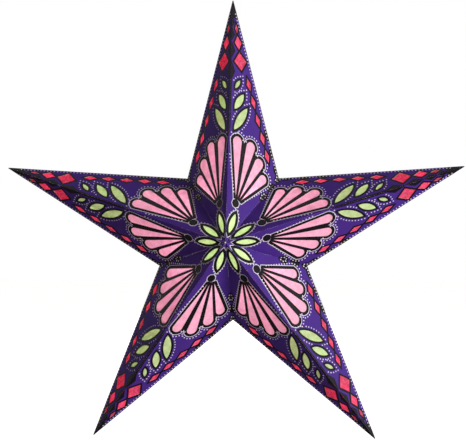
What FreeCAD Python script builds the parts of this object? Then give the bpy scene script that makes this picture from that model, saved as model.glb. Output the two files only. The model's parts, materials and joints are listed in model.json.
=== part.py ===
import FreeCAD, Part
import math
import os
import Sketcher
from FreeCAD import Matrix, Placement, Vector

# A folding paper star lantern with five hollow arms, in millimetres.
# The star stands upright in the XZ plane with its front towards -Y and its centre at the origin.
# Each arm is four triangular card panels: left and right, in front and at the back. Left and
# right panels meet in a ridge, front and back panels meet in the outer edge, and neighbouring
# arms meet in a valley. Every crease is a hinge, so the star folds up like a fan. Windows are
# cut through each panel and backed from the inside with coloured tissue. The inner face of
# a panel passes through its three creases, and the card's thickness lies outside that face.

os.makedirs("parts", exist_ok=True)
doc = FreeCAD.newDocument("StarLantern")

SIZES = {
    # The open star: tip radius, inner corner radius, half the depth, and half an arm's sector.
    "arm_reach": 315.0,
    "corner_reach": 101.5,
    "half_depth": 85.0,
    "half_sector": 36.0,
    # The folded star: half the sector that an arm still takes.
    "folded_half_sector": 4.0,
    # Card and its creases. The open edge is the one where the loop of an arm is not hinged.
    "card_thickness": 0.3,
    "crease_gap": 0.25,
    "open_edge_gap": 0.8,
    # Tissue behind the windows.
    "tissue_thickness": 0.12,
    "tissue_margin": 4.5,
    "tissue_tip_margin": 2.8,
    "tissue_gap": 1.0,
    # Fan of petals at the foot of an arm, in facet coordinates along and across the ridge.
    "fan_along": 50.0,
    "fan_across": 14.0,
    "petal_start": 13.0,
    "petal_reach": 92.0,
    "petal_bar": 4.0,
    "petal_ridge_margin": 7.0,
    "fan_edge_margin": 23.0,
    "fan_lean": 5.0,
    # Small petal near the star's centre.
    "centre_petal_start": 14.0,
    "centre_petal_length": 28.0,
    "centre_petal_width": 8.0,
    # Leaves up the arm.
    "leaf_first": 150.0,
    "leaf_pitch": 28.0,
    "leaf_across": 8.0,
    "leaf_angle": 32.0,
    "leaf_width": 11.0,
    "leaf_slimness": 0.36,
    "leaf_edge_margin": 24.0,
    "leaf_zone_lead": 3.0,
    "leaf_zone_length": 75.0,
    # Lozenges along the outer edge and in the tip.
    "border_first": 22.0,
    "border_pitch": 24.0,
    "border_inset": 11.0,
    "lozenge_length": 17.0,
    "lozenge_width": 7.0,
    "border_depth": 17.0,
    "tip_first": 96.0,
    "tip_gap": 4.0,
    "tip_longest": 24.0,
    "tip_step": 6.0,
    "tip_margin": 5.0,
    # Glue flaps under the glued valleys.
    "flap_width": 5.0,
    "flap_start": 62.0,
    "flap_end": 8.0,
    # Seam flaps with the holes for a fastener.
    "seam_gap": 0.6,
    "seam_width": 10.0,
    "seam_start": 58.0,
    "seam_root": 0.5,
    "seam_clearance": 2.0,
    "seam_hole": 4.0,
    "seam_hole_first": 74.0,
    "seam_hole_pitch": 34.0,
    # Hanging tab on the back ridge of the top arm.
    "tab_thickness": 0.6,
    "tab_seat": 0.35,
    "tab_place": 276.0,
    "tab_height": 10.0,
    "tab_radius": 8.0,
    "tab_base": 30.0,
    "hanger_bore": 5.0,
    "hanger_wall": 0.4,
    "hanger_rim": 10.0,
    "hanger_flange": 0.4,
    "hanger_play": 0.05,
    # Cable grommet in the back.
    "grommet_bore": 7.0,
    "grommet_wall": 1.0,
    "grommet_rim": 13.0,
    "grommet_flange": 0.6,
    "grommet_play": 0.15,
}
PETALS = 4
LEAVES = 3
BORDER_LOZENGES = 5
TIP_LOZENGES = 3
SEAM_HOLES = 2

sheet = doc.addObject("Spreadsheet::Sheet", "Sizes")
for row, (alias, number) in enumerate(SIZES.items(), start=1):
    sheet.set(f"A{row}", alias.replace("_", " "))
    sheet.set(f"B{row}", str(number))
    sheet.setAlias(f"B{row}", alias)
doc.recompute()


class Size:
    """A number together with the sheet formula that gives it, so both follow the cells."""

    def __init__(self, value, formula):
        self.value = value
        self.formula = formula

    def __add__(self, other):
        other = as_size(other)
        return Size(self.value + other.value, f"({self.formula} + {other.formula})")

    def __sub__(self, other):
        other = as_size(other)
        return Size(self.value - other.value, f"({self.formula} - {other.formula})")

    def __mul__(self, other):
        other = as_size(other)
        return Size(self.value * other.value, f"({self.formula} * {other.formula})")

    def __truediv__(self, other):
        other = as_size(other)
        return Size(self.value / other.value, f"({self.formula} / {other.formula})")


def as_size(number):
    return number if isinstance(number, Size) else Size(float(number), f"({float(number)})")


def cell(alias):
    return Size(SIZES[alias], f"Sizes.{alias}")


def root(size):
    return Size(math.sqrt(size.value), f"sqrt({size.formula})")


def sine(angle):
    return Size(math.sin(math.radians(angle.value)), f"sin({angle.formula})")


def cosine(angle):
    return Size(math.cos(math.radians(angle.value)), f"cos({angle.formula})")


def angle_of(cosine_size):
    """An angle in plain degrees, so that the sheet adds other plain numbers to it."""
    degrees = math.degrees(math.acos(cosine_size.value))
    return Size(degrees, f"(acos({cosine_size.formula}) / 1 deg)")


def least(first, second):
    return Size(
        min(first.value, second.value), f"min({first.formula}; {second.formula})"
    )


# Values worked out from the sheet are kept in one variable set, each under its own name.
layout = doc.addObject("App::VarSet", "Layout")


def named(name, size):
    """Keep a worked-out value in the variable set and hand back its short name."""
    layout.addProperty("App::PropertyFloat", name)
    layout.setExpression(name, size.formula)
    return Size(size.value, f"Layout.{name}")


def named_point(name, point):
    return named(f"{name}_along", point[0]), named(f"{name}_across", point[1])


# The triangle of one facet, from three lengths that folding leaves as they are:
# ridge = apex to tip, valley = apex to inner corner, edge = tip to inner corner.
reach, corner, depth = cell("arm_reach"), cell("corner_reach"), cell("half_depth")
RIDGE = named("ridge", root(reach * reach + depth * depth))
VALLEY = named("valley", root(corner * corner + depth * depth))
EDGE = named(
    "edge",
    root(reach * reach + corner * corner - reach * corner * cosine(cell("half_sector")) * 2),
)
# Angles by the law of cosines: at the apex between ridge and valley, at the tip between
# ridge and outer edge.
APEX_ANGLE = named(
    "apex_angle",
    angle_of((RIDGE * RIDGE + VALLEY * VALLEY - EDGE * EDGE) / (RIDGE * VALLEY * 2)),
)
TIP_ANGLE = named(
    "tip_angle",
    angle_of((RIDGE * RIDGE + EDGE * EDGE - VALLEY * VALLEY) / (RIDGE * EDGE * 2)),
)


def folded_valley_angle():
    """Half the angle left outside a valley of the folded star, in degrees.

    With half sector b, the corner lies at r (sin b, cos b) and the tip at (0, R), where
    R^2 = ridge^2 - h^2 and r^2 = valley^2 - h^2. The half depth h follows from the edge:
    R^2 + r^2 - 2 R r cos b = edge^2, solved by halving. The panel's normal against the plane
    through the axis and the corner then gives the angle."""
    turn = math.radians(SIZES["folded_half_sector"])
    low, high = 0.0, VALLEY.value
    for _ in range(80):
        half = (low + high) / 2
        tip = math.sqrt(RIDGE.value**2 - half**2)
        inner = math.sqrt(VALLEY.value**2 - half**2)
        gap = tip**2 + inner**2 - 2 * tip * inner * math.cos(turn) - EDGE.value**2
        if gap > 0:
            high = half
        else:
            low = half
    apex = Vector(0, -half, 0)
    tip_point = Vector(0, 0, tip)
    corner_point = Vector(inner * math.sin(turn), 0, inner * math.cos(turn))
    panel = (tip_point - apex).cross(corner_point - apex).normalize()
    radial = (corner_point - apex).cross(Vector(0, -1, 0)).normalize()
    between = math.degrees(math.acos(abs(panel.dot(radial))))
    return min(between, 180 - between)


# The valley edge of a card is cut back at this slope, so that the outer faces of two
# neighbouring arms close without meeting.
VALLEY_SLOPE = folded_valley_angle()
BEVEL = cell("card_thickness") / math.tan(math.radians(VALLEY_SLOPE))


def sketch_on(body, name, role="XY_Plane", lift=None):
    """A sketch attached to one of the body's own origin planes, lifted along its normal."""
    plane = next(o for o in body.Origin.OriginFeatures if o.Role == role)
    sketch = body.newObject("Sketcher::SketchObject", name)
    sketch.AttachmentSupport = (plane, "")
    sketch.MapMode = "FlatFace"
    if lift is not None:
        sketch.setExpression("AttachmentOffset.Base.z", lift.formula)
    return sketch


def bind(sketch, kind, elements, size):
    """Add one measured constraint to a sketch and bind it to the sheet."""
    index = sketch.addConstraint(Sketcher.Constraint(kind, *elements, size.value))
    sketch.setExpression(f"Constraints[{index}]", size.formula)


START, END, CENTRE = 1, 2, 3


def fix_point(sketch, item, end, along, across):
    """Hold a point by its two coordinates from the sketch's origin."""
    bind(sketch, "DistanceX", (-1, 1, item, end), along)
    bind(sketch, "DistanceY", (-1, 1, item, end), across)


def centre_line(sketch, begin, finish):
    """A construction line between two points that are given by their coordinates."""
    ends = [Vector(x.value, y.value, 0) for x, y in (begin, finish)]
    line = sketch.addGeometry(Part.LineSegment(*ends), True)
    fix_point(sketch, line, START, *begin)
    fix_point(sketch, line, END, *finish)
    return line, ends


def straight_cut(sketch, points):
    """A closed outline of straight sides through points given by their coordinates."""
    corners = [Vector(x.value, y.value, 0) for x, y in points]
    count = len(points)
    lines = [
        sketch.addGeometry(Part.LineSegment(corners[i], corners[(i + 1) % count]), False)
        for i in range(count)
    ]
    for i, point in enumerate(points):
        fix_point(sketch, lines[i], START, *point)
        sketch.addConstraint(
            Sketcher.Constraint("Coincident", lines[i], END, lines[(i + 1) % count], START)
        )


def petal(sketch, begin, finish, radius):
    """A window with a pointed foot, two straight sides and a round head."""
    axis, (foot, head) = centre_line(sketch, begin, finish)
    way = head - foot
    lean = math.asin(radius.value / way.Length)
    heading = math.atan2(way.y, way.x)
    reach_side = way.Length * math.cos(lean)
    left = foot + Vector(math.cos(heading + lean), math.sin(heading + lean)) * reach_side
    right = foot + Vector(math.cos(heading - lean), math.sin(heading - lean)) * reach_side
    circle = Part.Circle(head, Vector(0, 0, 1), radius.value)
    turns = [math.atan2((p - head).y, (p - head).x) for p in (right, left)]
    head_arc = sketch.addGeometry(Part.ArcOfCircle(circle, *turns), False)
    right_side = sketch.addGeometry(Part.LineSegment(foot, right), False)
    left_side = sketch.addGeometry(Part.LineSegment(left, foot), False)
    for parts in (
        ("Coincident", head_arc, CENTRE, axis, END),
        ("Coincident", right_side, START, axis, START),
        ("Coincident", left_side, END, axis, START),
        ("Tangent", right_side, END, head_arc, START),
        ("Tangent", head_arc, END, left_side, START),
    ):
        sketch.addConstraint(Sketcher.Constraint(*parts))
    bind(sketch, "Radius", (head_arc,), radius)


def facet_lines(sketch, side):
    """The facet's triangle as construction lines: ridge along +X, corner on the given side."""
    apex = Vector(0, 0, 0)
    tip = Vector(RIDGE.value, 0, 0)
    turn = math.radians(APEX_ANGLE.value)
    inner = Vector(math.cos(turn), side * math.sin(turn), 0) * VALLEY.value
    names = ("ridge", "outer", "valley")
    ends = ((apex, tip), (tip, inner), (inner, apex))
    lines = {
        name: sketch.addGeometry(Part.LineSegment(*pair), True)
        for name, pair in zip(names, ends)
    }
    for parts in (
        ("Coincident", lines["ridge"], START, -1, 1),
        ("Horizontal", lines["ridge"]),
        ("Coincident", lines["ridge"], END, lines["outer"], START),
        ("Coincident", lines["outer"], END, lines["valley"], START),
        ("Coincident", lines["valley"], END, lines["ridge"], START),
    ):
        sketch.addConstraint(Sketcher.Constraint(*parts))
    bind(sketch, "Distance", (lines["ridge"],), RIDGE)
    bind(sketch, "Distance", (lines["outer"],), EDGE)
    bind(sketch, "Distance", (lines["valley"],), VALLEY)
    return lines


def side_line(kind, inset, side):
    """Normal and offset of a line inside the facet, so that normal . point = offset."""
    turn, tip_turn = math.radians(APEX_ANGLE.value), math.radians(TIP_ANGLE.value)
    if kind == "ridge":
        return Vector(0, side), inset
    if kind == "valley":
        return Vector(math.sin(turn), -side * math.cos(turn)), inset
    if kind == "outer":
        normal = Vector(-math.sin(tip_turn), -side * math.cos(tip_turn))
        return normal, inset - RIDGE.value * math.sin(tip_turn)
    return Vector(1, 0), inset


def crossing(first, second):
    (a, p), (b, q) = first, second
    spread = a.x * b.y - a.y * b.x
    return Vector((p * b.y - q * a.y) / spread, (a.x * q - b.x * p) / spread, 0)


def inset_outline(sketch, side, sides):
    """A closed outline inside the facet. Each side is (kind, inset): parallel to the ridge,
    valley or outer edge at that distance, or across the ridge at that distance from the apex."""
    edges = facet_lines(sketch, side)
    straight = [side_line(kind, inset.value, side) for kind, inset in sides]
    count = len(sides)
    corners = [crossing(straight[i - 1], straight[i]) for i in range(count)]
    lines = [
        sketch.addGeometry(Part.LineSegment(corners[i], corners[(i + 1) % count]), False)
        for i in range(count)
    ]
    for i, (kind, inset) in enumerate(sides):
        sketch.addConstraint(
            Sketcher.Constraint("Coincident", lines[i], END, lines[(i + 1) % count], START)
        )
        if kind == "across":
            relation = ("Perpendicular", edges["ridge"], lines[i])
        else:
            relation = ("Parallel", edges[kind], lines[i])
        sketch.addConstraint(Sketcher.Constraint(*relation))
        anchor = (edges["outer"], START) if kind == "outer" else (edges["ridge"], START)
        bind(sketch, "Distance", (*anchor, lines[i]), inset)


def room_to_edge(along, across, margin, heading):
    """How far a line from a point runs before it comes within a margin of the outer edge."""
    distance = (RIDGE - along) * sine(TIP_ANGLE) - across * cosine(TIP_ANGLE)
    return (distance - margin) / sine(heading + TIP_ANGLE)


def step_from(point, heading, distance):
    return point[0] + cosine(heading) * distance, point[1] + sine(heading) * distance


def sided(point, side):
    """The same point on the left (+1) or right (-1) side of the ridge."""
    return point[0], point[1] * side


def fan_petals():
    """Foot, head centre and head radius of each petal of the fan."""
    origin = cell("fan_along"), cell("fan_across")
    turn = named("petal_turn", (APEX_ANGLE + cell("fan_lean")) / (PETALS - 1))
    half = named("petal_half", sine(turn / 2))
    bar = cell("petal_bar") / 2
    for index in range(PETALS):
        heading = turn * index
        room = room_to_edge(*origin, cell("fan_edge_margin"), heading)
        length = named(f"petal_{index}_length", least(cell("petal_reach"), room))
        full = (length + bar) / (half + 1) * half - bar
        limit = cell("fan_across") - cell("petal_ridge_margin")
        radius = named(f"petal_{index}_radius", least(full, limit))
        foot = step_from(origin, heading, cell("petal_start"))
        head = step_from(origin, heading, length - radius)
        yield (
            named_point(f"petal_{index}_foot", foot),
            named_point(f"petal_{index}_head", head),
            radius,
        )


# Shoulders of a window as shares of its length: two for a leaf, one for a lozenge.
LEAF_SHOULDERS = (0.3, 0.7)
MIDDLE = (0.5,)


def long_shape(name, first, last, width, shoulders):
    """Corners of a window with two pointed ends and shoulders at shares of its length."""
    run_along, run_across = last[0] - first[0], last[1] - first[1]
    length = root(run_along * run_along + run_across * run_across)
    side_along = run_across / length * width / 2
    side_across = run_along / length * width / 2
    points = [first]
    for share in shoulders:
        points.append(
            (
                first[0] + run_along * share + side_along,
                first[1] + run_across * share - side_across,
            )
        )
    points.append(last)
    for share in reversed(shoulders):
        points.append(
            (
                first[0] + run_along * share - side_along,
                first[1] + run_across * share + side_across,
            )
        )
    return [named_point(f"{name}_{i}", point) for i, point in enumerate(points)]


def centre_window():
    """The window near the star's centre, halfway between ridge and valley."""
    half = APEX_ANGLE / 2
    begin = cell("centre_petal_start")
    ends = [
        (cosine(half) * distance, sine(half) * distance)
        for distance in (begin, begin + cell("centre_petal_length"))
    ]
    return long_shape("centre", *ends, cell("centre_petal_width"), LEAF_SHOULDERS)


def leaves():
    """The leaves up the arm, each as long as the border beside it leaves room for."""
    heading = cell("leaf_angle")
    for index in range(LEAVES):
        foot = cell("leaf_first") + cell("leaf_pitch") * index, cell("leaf_across")
        room = room_to_edge(*foot, cell("leaf_edge_margin"), heading)
        length = named(f"leaf_{index}_length", room)
        width = least(cell("leaf_width"), length * cell("leaf_slimness"))
        end = step_from(foot, heading, length)
        yield long_shape(f"leaf_{index}", foot, end, width, LEAF_SHOULDERS)


def border_lozenges():
    """The row along the outer edge, counted from the inner corner."""
    for index in range(BORDER_LOZENGES):
        from_tip = EDGE - cell("border_first") - cell("border_pitch") * index
        ends = []
        for distance in (from_tip, from_tip - cell("lozenge_length")):
            along = RIDGE - cosine(TIP_ANGLE) * distance - sine(TIP_ANGLE) * cell("border_inset")
            across = sine(TIP_ANGLE) * distance - cosine(TIP_ANGLE) * cell("border_inset")
            ends.append((along, across))
        yield long_shape(f"border_{index}", *ends, cell("lozenge_width"), MIDDLE)


def tip_lozenges():
    """The lozenges in the tip, on the line halfway between ridge and outer edge."""
    half = TIP_ANGLE / 2
    start = cell("tip_first")
    for index in range(TIP_LOZENGES):
        length = cell("tip_longest") - cell("tip_step") * index
        ends = [
            (RIDGE - cosine(half) * distance, sine(half) * distance)
            for distance in (start, start - length)
        ]
        width = ((start - length / 2) * sine(half) - cell("tip_margin")) * 2
        yield long_shape(f"tip_{index}", *ends, width, MIDDLE)
        start = start - length - cell("tip_gap")


FAN = list(fan_petals())
STRAIGHT_WINDOWS = [
    centre_window(),
    *leaves(),
    *border_lozenges(),
    *tip_lozenges(),
]


def draw_windows(sketch, side):
    """Every window of one panel."""
    for foot, head, radius in FAN:
        petal(sketch, sided(foot, side), sided(head, side), radius)
    for points in STRAIGHT_WINDOWS:
        straight_cut(sketch, [sided(point, side) for point in points])


def placed(body, origin, along, normal):
    """Put a body's origin at a point, its +X along one direction and its +Z along another."""
    x = Vector(along).normalize()
    z = Vector(normal).normalize()
    y = z.cross(x)
    frame = Matrix(
        x.x, y.x, z.x, origin.x, x.y, y.y, z.y, origin.y, x.z, y.z, z.z, origin.z, 0, 0, 0, 1
    )
    body.Placement = Placement(frame)


def new_body(name):
    body = doc.addObject("PartDesign::Body", name)
    body.Label = name
    return body


def pad(body, sketch, length, downwards=False):
    feature = body.newObject("PartDesign::Pad", f"{sketch.Name}_pad")
    feature.Profile = sketch
    feature.setExpression("Length", length.formula)
    feature.Reversed = downwards
    return feature


def cut_through(body, sketch):
    """Cut a sketch through the card, both ways from its inner face."""
    feature = body.newObject("PartDesign::Pocket", f"{sketch.Name}_cut")
    feature.Profile = sketch
    feature.SideType = "Symmetric"
    feature.setExpression("Length", (cell("card_thickness") * 4).formula)
    return feature


def draw_circle(sketch, along, across, radius):
    circle = Part.Circle(Vector(along.value, across.value, 0), Vector(0, 0, 1), radius.value)
    item = sketch.addGeometry(circle, False)
    fix_point(sketch, item, CENTRE, along, across)
    bind(sketch, "Radius", (item,), radius)


# Arms counter-clockwise as seen from the front, with the angle of each arm's tip.
ARMS = ("top", "upper_left", "lower_left", "lower_right", "upper_right")
SECTOR = 2 * SIZES["half_sector"]
TOP_ANGLE = 90.0
ARM_ANGLE = {name: TOP_ANGLE + SECTOR * index for index, name in enumerate(ARMS)}
# The side on which each arm's loop of four panels stays open at its outer edge.
OPEN_SIDE = {
    "top": "right",
    "upper_left": "left",
    "lower_left": "left",
    "lower_right": "right",
    "upper_right": "right",
}
SEAM_ANGLE = TOP_ANGLE + SECTOR * 2.5
GLUED_FLAPS = {
    "upper_left": "right",
    "lower_left": "right",
    "lower_right": "left",
    "upper_right": "left",
}
CABLE_PANEL = ("top", "back", "left")


def radial(angle):
    turn = math.radians(angle)
    return Vector(math.cos(turn), 0, math.sin(turn))


def facet_corners(arm, face, hand):
    """Apex, tip and inner corner of one facet in the star's frame."""
    apex = Vector(0, SIZES["half_depth"] * (-1 if face == "front" else 1), 0)
    tip = radial(ARM_ANGLE[arm]) * SIZES["arm_reach"]
    turn = SIZES["half_sector"] * (1 if hand == "left" else -1)
    inner = radial(ARM_ANGLE[arm] + turn) * SIZES["corner_reach"]
    return apex, tip, inner


def outward(apex, tip, inner):
    normal = (tip - apex).cross(inner - apex).normalize()
    return normal if normal.dot(apex) > 0 else normal * -1


def facet_side(face, hand):
    """+1 where the corner lies towards +Y of the facet's own frame, else -1."""
    return 1 if (face == "front") == (hand == "left") else -1


def make_panel(arm, face, hand):
    """One card panel: a loft between its inner and outer outline, with its windows cut out."""
    name = f"{arm}_arm_{face}_{hand}_panel"
    side = facet_side(face, hand)
    body = new_body(name)
    gap = cell("crease_gap")
    edge_gap = cell("open_edge_gap") if OPEN_SIDE[arm] == hand else gap
    inner = sketch_on(body, f"{name}_inner")
    inset_outline(inner, side, [("ridge", gap), ("outer", edge_gap), ("valley", gap)])
    outer = sketch_on(body, f"{name}_outer", lift=cell("card_thickness"))
    inset_outline(
        outer, side, [("ridge", gap), ("outer", edge_gap), ("valley", gap + BEVEL)]
    )
    card = body.newObject("PartDesign::AdditiveLoft", f"{name}_card")
    card.Profile = inner
    card.Sections = [outer]
    card.Ruled = True
    windows = sketch_on(body, f"{name}_windows")
    draw_windows(windows, side)
    cut_through(body, windows)
    if (arm, face, hand) == CABLE_PANEL:
        hole = sketch_on(body, f"{name}_cable_hole")
        barrel = cell("grommet_bore") / 2 + cell("grommet_wall") + cell("grommet_play")
        draw_circle(hole, *sided((cell("fan_along"), cell("fan_across")), side), barrel)
        cut_through(body, hole)
    apex, tip, corner_point = facet_corners(arm, face, hand)
    placed(body, apex, tip - apex, outward(apex, tip, corner_point))
    return body


def make_tissue(arm, face, hand):
    """The tissue patches of one panel, glued to its inner face."""
    name = f"{arm}_arm_{face}_{hand}_tissue"
    side = facet_side(face, hand)
    body = new_body(name)
    margin, tip_margin = cell("tissue_margin"), cell("tissue_tip_margin")
    strip = cell("border_depth")
    inside = strip + cell("tissue_gap")
    glue = cell("flap_width") + cell("tissue_gap")
    bare = cell("grommet_rim") / 2 + cell("tissue_gap")
    lime_end, fan_start = cell("fan_along") - bare, cell("fan_along") + bare
    leaf_start = cell("leaf_first") - cell("leaf_zone_lead")
    leaf_end = leaf_start + cell("leaf_zone_length")
    patches = {
        "centre": [("ridge", tip_margin), ("across", lime_end), ("valley", tip_margin)],
        "fan": [
            ("ridge", margin),
            ("across", leaf_start - cell("tissue_gap")),
            ("outer", inside),
            ("valley", glue),
            ("across", fan_start),
        ],
        "leaf": [
            ("ridge", margin),
            ("across", leaf_end),
            ("outer", inside),
            ("across", leaf_start),
        ],
        "tip": [
            ("ridge", tip_margin),
            ("outer", tip_margin),
            ("valley", glue),
            ("outer", strip),
            ("across", leaf_end + cell("tissue_gap")),
        ],
    }
    for zone, sides in patches.items():
        sketch = sketch_on(body, f"{name}_{zone}")
        inset_outline(sketch, side, sides)
        pad(body, sketch, cell("tissue_thickness"), downwards=True)
    apex, tip, corner_point = facet_corners(arm, face, hand)
    placed(body, apex, tip - apex, outward(apex, tip, corner_point))
    return body


def make_glue_flap(arm, face, hand):
    """The neighbouring arm's flap, glued flat under the valley edge of this panel."""
    name = f"{arm}_arm_{face}_glue_flap"
    side = facet_side(face, hand)
    body = new_body(name)
    sketch = sketch_on(body, f"{name}_outline")
    facet = facet_lines(sketch, side)
    turn = math.radians(APEX_ANGLE.value)
    along = Vector(math.cos(turn), side * math.sin(turn))
    inwards = Vector(math.sin(turn), -side * math.cos(turn))
    gap, width = cell("crease_gap"), cell("flap_width")
    start = cell("flap_start")
    finish = VALLEY - cell("flap_end")
    places = (
        (start, gap),
        (finish, gap),
        (finish - width, gap + width),
        (start + width, gap + width),
    )
    corners = [along * a.value + inwards * b.value for a, b in places]
    lines = [
        sketch.addGeometry(Part.LineSegment(corners[i], corners[(i + 1) % 4]), False)
        for i in range(4)
    ]
    for i, (distance, inset) in enumerate(places):
        sketch.addConstraint(
            Sketcher.Constraint("Coincident", lines[i], END, lines[(i + 1) % 4], START)
        )
        bind(sketch, "Distance", (lines[i], START, facet["valley"]), inset)
        reach_from_apex = root(distance * distance + inset * inset)
        bind(sketch, "Distance", (-1, 1, lines[i], START), reach_from_apex)
    pad(body, sketch, cell("card_thickness"), downwards=True)
    apex, tip, corner_point = facet_corners(arm, face, hand)
    placed(body, apex, tip - apex, outward(apex, tip, corner_point))
    return body


def seam_frame(face):
    """Apex, direction of the valley and the seam plane's normal towards the left arm."""
    apex = Vector(0, SIZES["half_depth"] * (-1 if face == "front" else 1), 0)
    inner = radial(SEAM_ANGLE) * SIZES["corner_reach"]
    return apex, inner - apex, radial(SEAM_ANGLE - 90)


def make_seam_flap(hand, face):
    """A flap standing inside the open seam, with punched holes for a fastener. Its far end
    slants so that front and back flap clear each other at the inner corner."""
    name = f"seam_{face}_{hand}_flap"
    towards = 1 if hand == "left" else -1
    apex, valley, across = seam_frame(face)
    normal = across * towards
    inwards = normal.cross(valley)
    side = 1 if inwards.dot(apex) < 0 else -1
    body = new_body(name)
    lift = cell("seam_gap")
    sketch = sketch_on(body, f"{name}_outline", lift=lift)
    root_line, width = cell("seam_root"), cell("seam_width")
    begin = cell("seam_start")
    # The far end follows the plane of the outer edges, half_depth / corner_reach steep.
    slope = cell("corner_reach") / cell("half_depth")
    finish = VALLEY - cell("seam_clearance") - root_line * slope
    places = (
        (begin, root_line),
        (finish, root_line),
        (finish - width * slope, root_line + width),
        (begin + width, root_line + width),
    )
    straight_cut(sketch, [sided(place, side) for place in places])
    for index in range(SEAM_HOLES):
        along = cell("seam_hole_first") + cell("seam_hole_pitch") * index
        inset = root_line + width / 2
        draw_circle(sketch, *sided((along, inset), side), cell("seam_hole") / 2)
    pad(body, sketch, cell("card_thickness"))
    placed(body, apex, valley, normal)
    return body


def ring_profile(sketch, bore, wall, rim, flange, thickness):
    """Half section of a flanged ring round the sheet of that thickness, axis along Y. The
    flanges lie on both faces of the sheet, which spans from 0 to the thickness."""
    inside = bore / 2
    barrel = inside + wall
    low = flange * -1
    high = thickness + flange
    points = [
        (inside, low),
        (rim / 2, low),
        (rim / 2, as_size(0)),
        (barrel, as_size(0)),
        (barrel, thickness),
        (rim / 2, thickness),
        (rim / 2, high),
        (inside, high),
    ]
    straight_cut(sketch, points)


def make_ring(name, origin, normal, measures):
    """A turned ring whose sheet starts at the origin and lies along the normal."""
    body = new_body(name)
    sketch = sketch_on(body, f"{name}_section", role="XZ_Plane")
    ring_profile(sketch, *measures)
    turned = body.newObject("PartDesign::Revolution", f"{name}_turned")
    turned.Profile = sketch
    turned.ReferenceAxis = (sketch, ["V_Axis"])
    turned.Angle = 360.0
    side_way = Vector(0, 1, 0) if abs(normal.y) < 0.9 * normal.Length else Vector(1, 0, 0)
    placed(body, origin, side_way.cross(normal), normal)
    return body


def back_ridge(arm):
    """Start of an arm's back ridge, its direction, and the level direction across it."""
    apex = Vector(0, SIZES["half_depth"], 0)
    along = (radial(ARM_ANGLE[arm]) * SIZES["arm_reach"] - apex).normalize()
    return apex, along, radial(ARM_ANGLE[arm] + 90)


def make_hanger_tab():
    """The card tab that stands on the top arm's back ridge: a slanted foot, round on top."""
    body = new_body("hanger_tab")
    sketch = sketch_on(body, "hanger_tab_outline")
    place, seat = cell("tab_place"), cell("tab_seat")
    height, radius = cell("tab_height"), cell("tab_radius")
    half_base = cell("tab_base") / 2
    centre = Vector(place.value, height.value, 0)
    feet = [
        Vector(place.value - half_base.value, seat.value, 0),
        Vector(place.value + half_base.value, seat.value, 0),
    ]
    touch = []
    for foot, turn in zip(feet, (1, -1)):
        way = foot - centre
        lean = math.acos(radius.value / way.Length) * turn
        heading = math.atan2(way.y, way.x) - lean
        touch.append(centre + Vector(math.cos(heading), math.sin(heading)) * radius.value)
    base = sketch.addGeometry(Part.LineSegment(feet[0], feet[1]), False)
    rise = sketch.addGeometry(Part.LineSegment(feet[1], touch[1]), False)
    circle = Part.Circle(centre, Vector(0, 0, 1), radius.value)
    turns = [math.atan2((p - centre).y, (p - centre).x) for p in (touch[1], touch[0])]
    crown = sketch.addGeometry(Part.ArcOfCircle(circle, *turns), False)
    fall = sketch.addGeometry(Part.LineSegment(touch[0], feet[0]), False)
    for parts in (
        ("Coincident", base, END, rise, START),
        ("Tangent", rise, END, crown, START),
        ("Tangent", crown, END, fall, START),
        ("Coincident", fall, END, base, START),
    ):
        sketch.addConstraint(Sketcher.Constraint(*parts))
    fix_point(sketch, base, START, place - half_base, seat)
    fix_point(sketch, base, END, place + half_base, seat)
    fix_point(sketch, crown, CENTRE, place, height)
    bind(sketch, "Radius", (crown,), radius)
    barrel = cell("hanger_bore") / 2 + cell("hanger_wall")
    draw_circle(sketch, place, height, barrel + cell("hanger_play"))
    tab = pad(body, sketch, cell("tab_thickness"))
    tab.SideType = "Symmetric"
    placed(body, *back_ridge("top"))
    return body


def make_hanger_eyelet():
    apex, along, normal = back_ridge("top")
    outwards = normal.cross(along)
    origin = (
        apex
        + along * SIZES["tab_place"]
        + outwards * SIZES["tab_height"]
        - normal * (SIZES["tab_thickness"] / 2)
    )
    measures = [
        cell(key)
        for key in (
            "hanger_bore",
            "hanger_wall",
            "hanger_rim",
            "hanger_flange",
            "tab_thickness",
        )
    ]
    return make_ring("hanger_eyelet", origin, normal, measures)


def make_cable_grommet():
    arm, face, hand = CABLE_PANEL
    apex, tip, inner = facet_corners(arm, face, hand)
    normal = outward(apex, tip, inner)
    along = (tip - apex).normalize()
    across = normal.cross(along) * facet_side(face, hand)
    origin = apex + along * SIZES["fan_along"] + across * SIZES["fan_across"]
    measures = [
        cell(key)
        for key in (
            "grommet_bore",
            "grommet_wall",
            "grommet_rim",
            "grommet_flange",
            "card_thickness",
        )
    ]
    return make_ring("cable_grommet", origin, normal, measures)


sub_parts = [make_hanger_tab(), make_hanger_eyelet(), make_cable_grommet()]
for arm in ARMS:
    for face in ("front", "back"):
        for hand in ("left", "right"):
            sub_parts.append(make_panel(arm, face, hand))
            sub_parts.append(make_tissue(arm, face, hand))
        if arm in GLUED_FLAPS:
            sub_parts.append(make_glue_flap(arm, face, GLUED_FLAPS[arm]))
for face in ("front", "back"):
    for hand in ("left", "right"):
        sub_parts.append(make_seam_flap(hand, face))

doc.recompute()
for item in doc.Objects:
    if {"Invalid", "Error"} & set(item.State):
        raise RuntimeError(f"{item.Label} failed: {item.State}")
for body in sub_parts:
    shape = body.Shape
    if shape.isNull() or not shape.isValid() or not shape.Solids:
        raise RuntimeError(f"{body.Label} has no valid solid")
    shape.exportStep(f"parts/{body.Label}.step")
print(f"{len(sub_parts)} sub-parts written")
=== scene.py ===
# %% [markdown]
# # A folding paper star lantern
#
# The real object is a five-pointed star of printed card. Each arm has four triangular panels,
# creased along their edges, and each panel has windows that are cut through the card and
# backed with coloured tissue, so a lamp inside makes them glow. It could be modelled as one
# shell with a picture on it, but a picture would blur close up and could not fold. Here every
# panel is a mesh of its own, the printed shapes are faces of that mesh, and each panel rides
# on its own body, so that the star folds as the card does.

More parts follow.
